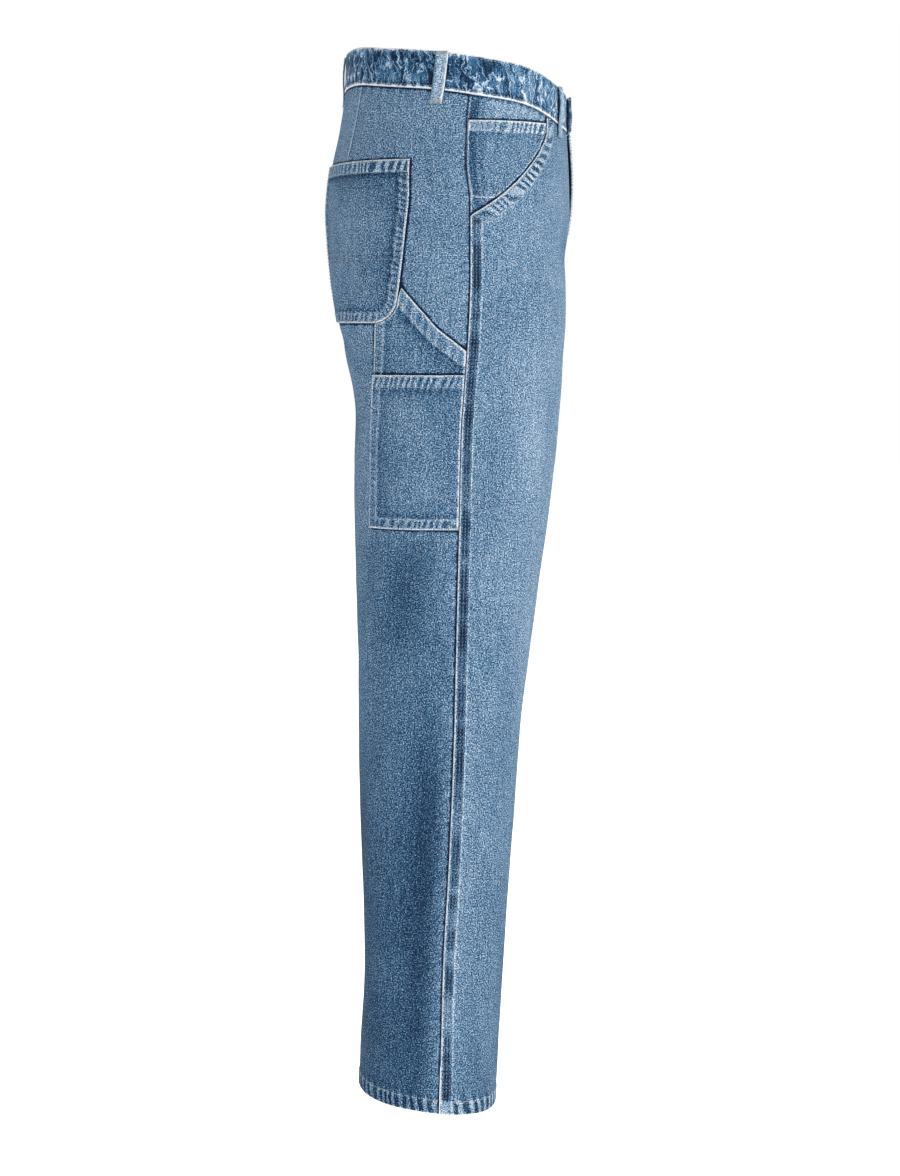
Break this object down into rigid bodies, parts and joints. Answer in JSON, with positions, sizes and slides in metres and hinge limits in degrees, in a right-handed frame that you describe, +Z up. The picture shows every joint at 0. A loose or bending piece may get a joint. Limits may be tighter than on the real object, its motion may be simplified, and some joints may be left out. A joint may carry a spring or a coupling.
{
  "type": "carpenter pants",
  "caption": "Straight washed denim work trousers, hollow and filled out as worn, with scooped front pockets, patch back pockets and a double tool pocket on the right leg.",
  "frame": {"origin": "middle of the waist, half way up the side of the waistband, where the wearer holds the garment up", "axes": "+Z up, the front faces -Y, the wearer's right is -X and left is +X"},
  "size_m": [0.3623, 0.2481, 1.0352],
  "materials": {
    "denim": "washed twill",
    "denim_pockets": "washed twill",
    "denim_trim": "abraded twill",
    "denim_inside": "unwashed twill",
    "zip_tape": "woven tape",
    "button_metal": "antique",
    "slider_metal": "satin"
  },
  "bodies": {
    "root": {"front_right": "denim", "front_left": "denim", "back_right": "denim", "back_left": "denim", "waistband": "denim_trim", "waistband_button": "button_metal", "belt_loop_back": "denim_trim", "belt_loop_side_right": "denim_trim", "belt_loop_side_left": "denim_trim", "belt_loop_front_right": "denim_trim", "belt_loop_front_left": "denim_trim", "pocket_facing_right": "denim", "pocket_facing_left": "denim", "coin_pocket": "denim_pockets", "back_pocket_right": "denim_pockets", "back_pocket_left": "denim_pockets", "tool_pocket_under": "denim_pockets", "tool_pocket_over": "denim_pockets", "fly_shield": "denim_inside", "zip_tape": "zip_tape", "zip_slider": "slider_metal"}
  },
  "joints": []
}
